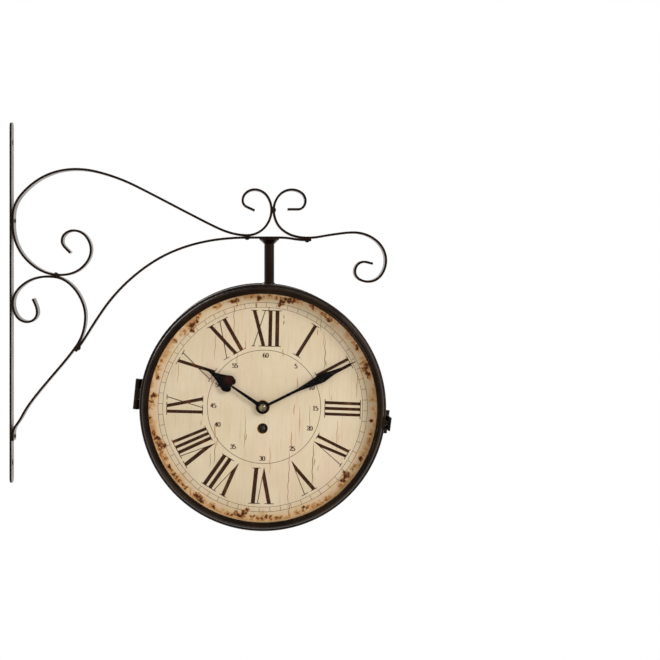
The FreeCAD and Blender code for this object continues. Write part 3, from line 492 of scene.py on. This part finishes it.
# Numerals, each in its own frame with its foot inwards: foot and head radius, strokes as foot, head
# and width, letters V as tip, thick head, thin head and width, then the serifs at foot and head
NUMERALS = {
    12: (59.3, 95.0, [(-1.9, -11.9, 3.6), (-12.1, -0.9, THIN), (4.3, 4.2, 3.55), (11.2, 10.9, 3.8)],
         [], [(-13.8, -10.1), (-6.6, 14.9)], [(-15.2, -8.8), (-4.3, 15.0)]),
    1: (59.3, 94.8, [(1.3, 1.6, 3.4)], [], [(-3.2, 5.6)], [(-3.0, 5.8)]),
    2: (59.6, 95.3, [(-2.3, -1.85, 3.0), (3.3, 3.9, 3.0)], [], [(-6.0, 7.0)], [(-5.5, 8.3)]),
    3: (59.5, 95.0, [(-5.8, -5.3, 3.0), (-0.2, 0.2, 3.0), (5.3, 5.7, 2.9)], [],
        [(-9.2, 9.0)], [(-9.0, 9.7)]),
    4: (59.5, 94.4, [(-3.1, -6.1, 3.0)], [(3.1, -0.75, 9.3, 2.95)],
        [(-6.3, 0.0)], [(-9.2, 3.0), (7.0, 11.6)]),
    5: (59.7, 95.0, [], [(1.3, -4.6, 6.0, 3.6)], [], [(-8.0, -0.5), (2.3, 9.2)]),
    6: (59.9, 95.4, [(5.85, 8.6, 4.0)], [(-1.9, -7.5, 4.1, 3.9)],
        [(1.8, 9.6)], [(-12.0, -2.9), (1.4, 12.9)]),
    7: (60.4, 95.9, [(1.6, 3.9, 3.75), (7.95, 10.25, 3.8)], [(-8.1, -11.0, -0.7, 3.7)],
        [(-2.9, 11.2)], [(-14.6, -7.2), (-2.9, 13.6)]),
    8: (59.8, 95.6, [(-1.95, 0.6, 3.3), (3.2, 6.4, 3.1), (8.3, 12.35, 3.0)],
        [(-8.8, -13.2, -3.4, 3.8)], [(-5.0, 11.2)], [(-17.0, -9.0), (-6.1, 15.0)]),
    9: (59.8, 95.8, [(-6.7, -6.7, 3.1), (6.35, -1.4, 3.3), (-2.45, 7.75, THIN)], [],
        [(-9.9, 0.3), (3.0, 9.0)], [(-10.2, 2.4), (5.0, 9.9)]),
    10: (59.0, 96.0, [(4.0, -5.3, 3.3), (-4.9, 3.9, THIN)], [],
         [(-7.6, -2.3), (0.5, 7.9)], [(-9.4, -1.2), (1.4, 6.7)]),
    11: (59.0, 94.9, [(0.8, -8.4, 3.55), (-9.4, 2.2, THIN), (7.4, 6.8, 3.6)], [],
         [(-12.5, -6.6), (-2.5, 12.2)], [(-12.1, -4.0), (-1.4, 10.9)]),
}


def letter_v(tip, thick, thin, width, low, high):
    """A thick stroke and a thin one that meet in a point at their feet."""
    left, right = thick - width / 2, thin + THIN / 2
    share = (width - V_TIP) / (right - left - V_TIP)
    fork = (tip + V_TIP + (right - tip - V_TIP) * share, low + (high - low) * share)
    return [[(tip, low), (tip + V_TIP, low), fork, (left + width, high), (left, high)],
            [(tip, low), (tip + V_TIP, low), (right, high), (right - THIN, high)]]


def numeral(hour):
    """The outlines of an hour's numeral at its place on the ring."""
    low, high, strokes, forked, feet, heads = NUMERALS[hour]
    shapes = [level_bar(foot, head, low, high, width) for foot, head, width in strokes]
    for letter in forked:
        shapes += letter_v(*letter, low, high)
    for ends, edge in ((feet, low), (heads, high - SERIF)):
        top = edge + SERIF
        shapes += [[(a, edge), (b, edge), (b, top), (a, top)] for a, b in ends]
    stand = Matrix.Rotation(-math.radians(30 * hour), 2)
    return [[stand @ Vector(point) for point in shape] for shape in shapes]


# Where the printer set each minute number
NUMBERS = {
    5: (30.3, 40.9), 10: (46.2, 20.1), 15: (50.5, -0.1), 20: (45.4, -19.9), 25: (28.8, -40.3),
    30: (-0.5, -50.7), 35: (-29.5, -39.9), 40: (-45.2, -18.5), 45: (-49.8, -0.0), 50: (-45.5, 20.6),
    55: (-29.5, 39.8), 60: (0.3, 50.7),
}


# Cracks in the paper and faint rusty runs, from the top down: x, top, bottom and width
CRACKS = [
    (-9.4, 102.3, 97.0, 0.8), (-31.3, 98.5, 82.0, 0.4), (-48.8, 78.0, 44.0, 0.35),
    (-26.5, 53.0, 42.0, 0.35), (17.9, 90.8, 87.5, 0.7), (17.8, 85.6, 81.5, 0.8),
    (18.0, 57.5, 50.0, 0.5), (3.2, 98.5, 91.5, 0.8), (54.5, 93.5, 76.0, 0.45),
    (59.3, 68.0, 39.0, 0.55), (61.0, 48.0, 42.0, 0.5), (-16.5, -9.0, -42.0, 0.35),
    (-45.6, -34.0, -58.5, 0.55), (-59.8, -15.0, -20.0, 0.4), (-49.4, -47.0, -61.0, 0.35),
    (51.2, -33.0, -77.0, 0.65), (27.9, -42.0, -99.0, 0.5), (46.6, 4.0, -22.0, 0.35),
    (56.5, -55.0, -61.0, 0.4), (67.5, 14.0, 8.0, 0.35),
]
RUNS = [
    (-45.8, -18.0, -33.0, 1.0), (-43.6, -31.0, -40.5, 0.8), (-15.4, -27.0, -33.5, 1.1),
    (52.9, -48.5, -55.5, 0.9), (29.2, -23.0, -41.0, 0.9), (9.0, -38.0, -66.0, 0.6),
    (31.2, 4.0, -7.0, 0.8), (33.0, 30.0, 19.0, 0.9), (51.3, 78.0, 72.5, 1.0),
    (-30.9, 88.0, 64.0, 0.6), (57.6, 76.0, 62.0, 0.6), (-19.0, 64.5, 57.0, 0.6),
    (92.0, 40.0, 12.0, 0.7), (36.5, 2.0, -24.0, 0.5), (29.7, -94.0, -108.0, 0.9),
    (-51.0, 34.0, 22.0, 0.8), (-68.0, -82.0, -92.0, 0.9), (-28.6, 101.5, 96.0, 0.9),
    (-84.0, 44.0, 20.0, 0.5), (74.0, -10.0, -40.0, 0.5),
]


def crack(x, top, bottom, width):
    """A wandering thin line that fades out at both ends."""
    count = max(4, round((top - bottom) / 3))
    points = []
    for k in range(count + 1):
        y = top + (bottom - top) * k / count
        wander = 0.35 * math.sin(y * 0.55 + x) + 0.25 * math.sin(y * 0.17 + 2 * x)
        points.append(Vector((x + wander, y)))
    tiles = []
    for k, (a, b) in enumerate(zip(points, points[1:])):
        start = width * math.sin(math.pi * (k + 0.15) / (count + 0.3)) ** 0.5
        end = width * math.sin(math.pi * (k + 1.15) / (count + 0.3)) ** 0.5
        tiles.append(level_bar(b.x, a.x, b.y, a.y, end, start))
    return tiles


def dress_dial(dial):
    """Prints a dial, and returns the material of its board."""
    ink = dial.ink("numeral_ink", (56, 28, 11), (118, 72, 32), 0.76)
    fine = dial.ink("fine_ink", (74, 40, 16), (116, 76, 42), 0.78)
    gold = dial.ink("hole_edge", (150, 104, 44), (186, 138, 66), 0.90)
    hollow = dial.ink("hole_print", (22, 12, 7), (42, 26, 15), 0.95)
    core = dial.ink("hole_core", (54, 46, 38), (88, 80, 70), 0.95)
    split = dial.ink("crack_shade", (88, 50, 24), (146, 94, 48), 0.80)
    run = dial.ink("run_shade", (188, 132, 76), (206, 158, 104), 0.86)

    shapes = [shape for hour in NUMERALS for shape in numeral(hour)]
    dial.print_on("numerals", shapes, ink, PRINT_RISE, CHAPTER_TURN, CHAPTER_SHIFT)

    lines = hoop(TRACK_OUTER, TRACK_LINE) + hoop(TRACK_INNER, TRACK_LINE)
    for minute in range(60):
        ends = [polar(6 * minute, radius) for radius in (TRACK_INNER, TRACK_OUTER)]
        lines.append(bar(*ends, TRACK_TICK))
    dial.print_on("minute_track", lines, fine, PRINT_RISE * 0.8, 0.0, TRACK_SHIFT)
    circle = hoop(CHAPTER_RADIUS, CHAPTER_LINE)
    dial.print_on("chapter_circle", circle, fine, PRINT_RISE * 0.8, 0.0, CHAPTER_SHIFT)

    figures = []
    for minute, place in NUMBERS.items():
        figures += number(str(minute), place, NUMBER_HEIGHT, FIGURE_THIN, FIGURE_THICK)
    dial.print_on("minute_numbers", figures, ink, PRINT_RISE * 0.9, CHAPTER_TURN, CHAPTER_SHIFT)

    # The winding hole is only printed: a gilt rim, a dark hole and its lighter middle
    x, y = HOLE
    dial.print_on("hole_rim", [disc((x - 0.4, y - 0.4), HOLE_RADIUS + 0.3)], gold, PRINT_RISE * 0.4)
    dial.print_on("winding_hole", [disc(HOLE, HOLE_RADIUS)], hollow, PRINT_RISE * 0.6)
    dial.print_on("winding_square", [disc((x + 0.5, y + 0.2), 1.8, 24)], core, PRINT_RISE)

    for label, lines, shade, part in (("runs", RUNS, run, 0.3), ("cracks", CRACKS, split, 0.5)):
        tiles = [tile for line in lines for tile in crack(*line)]
        dial.print_on(label, tiles, shade, PRINT_RISE * part)
    return dial.board()


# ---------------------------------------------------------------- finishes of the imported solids

finishes = {
    "plate_iron": aged_iron("plate_iron", dust=0.25),
    "scroll_iron": aged_iron("scroll_iron", dust=0.25),
    "rivet_iron": aged_iron("rivet_iron", rusting=0.8, wear=0.2),
    "post_iron": aged_iron("post_iron"),
    "bright_steel": bare_metal("bright_steel", (150, 146, 140), (112, 106, 98), 0.32),
    "screw_steel": bare_metal("screw_steel", (120, 112, 104), (78, 70, 62), 0.38),
    "band_iron": aged_iron("band_iron", cloud=(28, 18, 9), worn=(104, 84, 54), wear=0.3),
    "bezel_iron": aged_iron("bezel_iron", cloud=(30, 20, 9), worn=(104, 84, 54), rusting=0.35,
                            wear=0.3),
    "hinge_iron": aged_iron("hinge_iron", rusting=0.9, wear=0.3),
    "pin_steel": bare_metal("pin_steel", (118, 110, 102), (82, 74, 66), 0.36),
    "latch_iron": aged_iron("latch_iron", worn=(128, 118, 106), rusting=0.7, wear=0.4),
    "clear_glass": window_glass("clear_glass"),
    "spacer_cream": moulded("spacer_cream", (196, 168, 124), (208, 182, 138), 0.6),
    "spring_steel": bare_metal("spring_steel", (140, 136, 130), (96, 90, 84), 0.34),
    "movement_plastic": moulded("movement_plastic", (24, 24, 25), (32, 32, 33)),
    "cell_jacket": moulded("cell_jacket", (58, 74, 66), (66, 82, 74), 0.3),
    "contact_steel": bare_metal("contact_steel", (170, 166, 158), (132, 126, 116), 0.26),
    "brass_nut": bare_metal("brass_nut", (196, 160, 92), (150, 112, 58), 0.28),
    "knob_plastic": moulded("knob_plastic", (36, 36, 37), (46, 46, 47)),
    "arbor_brass": bare_metal("arbor_brass", (190, 154, 90), (142, 108, 58), 0.3),
    "hand_black": hand_enamel("hand_black"),
    "cap_chrome": bare_metal("cap_chrome", (146, 136, 112), (92, 76, 52), 0.12),
}

front = Dial("front", -1, -1.3, "front_door")
rear = Dial("rear", 1, 1.15, "bracket")
boards = {"front_dial": dress_dial(front), "rear_dial": dress_dial(rear)}

for name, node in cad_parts.items():
    for place in node.material_slots:
        slot = place.material.name.split(".")[0]
        place.material = boards[name] if name in boards else finishes[slot]


# ---------------------------------------------------------------- floor, light and camera

def studio_floor(rings=24, spokes=64):
    """A wide pale disc under the object, white to the eye away from it."""
    centre = Vector((FLOOR_CENTRE[0], FLOOR_CENTRE[1], FLOOR_HEIGHT))
    points = [centre]
    faces = []
    for k in range(rings):
        reach = FLOOR_RADIUS * ((k + 1) / rings) ** 2
        for s in range(spokes):
            angle = 2 * math.pi * s / spokes
            points.append(centre + Vector((math.cos(angle), math.sin(angle), 0.0)) * reach)
    for s in range(spokes):
        faces.append((0, 1 + s, 1 + (s + 1) % spokes))
    for k in range(rings - 1):
        for s in range(spokes):
            a, b = 1 + k * spokes + s, 1 + k * spokes + (s + 1) % spokes
            faces.append((a, a + spokes, b + spokes, b))
    mesh = bpy.data.meshes.new("studio_floor")
    mesh.from_pydata(points, [], faces)
    floor = bpy.data.objects.new("studio_floor", mesh)
    bpy.context.scene.collection.objects.link(floor)

    net = Net("studio_floor")
    where = net.place()
    level = net.vector("MULTIPLY", net.vector("SUBTRACT", where, FLOOR_CENTRE), (1.0, 1.0, 0.0))
    away = net.vector("LENGTH", level, out=1)
    cloth = net.noise(where, 60.0, 3.0)
    paper = net.mix(net.remap(cloth, 0.3, 0.7), tone(243, 243, 242), tone(247, 247, 247))
    shaded = net.add("BsdfDiffuse", paper).outputs[0]
    bright = net.add("Emission", (1.0, 1.0, 1.0, 1.0), 1.0).outputs[0]
    rays = net.add("LightPath").outputs
    bent = net.math("MAXIMUM", rays["Is Glossy Ray"], rays["Is Transmission Ray"])
    seen = net.math("MAXIMUM", rays["Is Camera Ray"], bent)
    share = net.times(seen, net.remap(away, 0.35, 0.95))
    surface = net.add("MixShader", share, shaded, bright).outputs[0]
    net.tree.links.new(surface, net.add("OutputMaterial").inputs[0])
    mesh.materials.append(net.material)


def studio_world():
    """Even light all round, white where it is seen."""
    world = bpy.data.worlds.new("studio_world")
    world.use_nodes = True
    tree = world.node_tree
    tree.nodes.clear()
    rays = tree.nodes.new("ShaderNodeLightPath").outputs
    bent = tree.nodes.new("ShaderNodeMath")
    bent.operation = "MAXIMUM"
    seen = tree.nodes.new("ShaderNodeMath")
    seen.operation = "MAXIMUM"
    tree.links.new(rays["Is Glossy Ray"], bent.inputs[0])
    tree.links.new(rays["Is Transmission Ray"], bent.inputs[1])
    tree.links.new(rays["Is Camera Ray"], seen.inputs[0])
    tree.links.new(bent.outputs[0], seen.inputs[1])
    soft = tree.nodes.new("ShaderNodeBackground")
    soft.inputs["Color"].default_value = (1.0, 0.99, 0.975, 1.0)
    soft.inputs["Strength"].default_value = WORLD_LEVEL
    white = tree.nodes.new("ShaderNodeBackground")
    white.inputs["Color"].default_value = (1.0, 1.0, 1.0, 1.0)
    white.inputs["Strength"].default_value = 1.0
    both = tree.nodes.new("ShaderNodeMixShader")
    tree.links.new(seen.outputs[0], both.inputs[0])
    tree.links.new(soft.outputs[0], both.inputs[1])
    tree.links.new(white.outputs[0], both.inputs[2])
    out = tree.nodes.new("ShaderNodeOutputWorld")
    tree.links.new(both.outputs[0], out.inputs[0])
    bpy.context.scene.world = world


def soft_lamp(name, direction, distance, size, power):
    """A square soft box that faces the front dial's middle."""
    target = front.origin
    light = bpy.data.lights.new(name, "AREA")
    light.shape = "SQUARE"
    light.size = size
    light.energy = power
    lamp = bpy.data.objects.new(name, light)
    lamp.location = target + Vector(direction).normalized() * distance
    lamp.rotation_euler = (target - lamp.location).to_track_quat("-Z", "Y").to_euler()
    bpy.context.scene.collection.objects.link(lamp)


studio_floor()
studio_world()
soft_lamp("key_lamp", (0.68, -0.62, 0.46), 1.4, 0.60, 9.8)
soft_lamp("low_lamp", (-0.70, -0.60, -0.42), 1.4, 0.22, 2.2)
soft_lamp("back_lamp", (-0.60, 0.75, 0.55), 1.6, 0.9, 12.0)

lens = bpy.data.cameras.new("camera")
lens.lens = 81.8
lens.sensor_width = 36.0
lens.shift_x = 0.136
lens.shift_y = -0.114
camera = bpy.data.objects.new("camera", lens)
camera.location = (0.2296, -1.5, 0.0477)
camera.rotation_euler = (math.radians(90), 0.0, 0.0)
bpy.context.scene.collection.objects.link(camera)
bpy.context.scene.camera = camera
bpy.context.scene.view_settings.view_transform = "Standard"
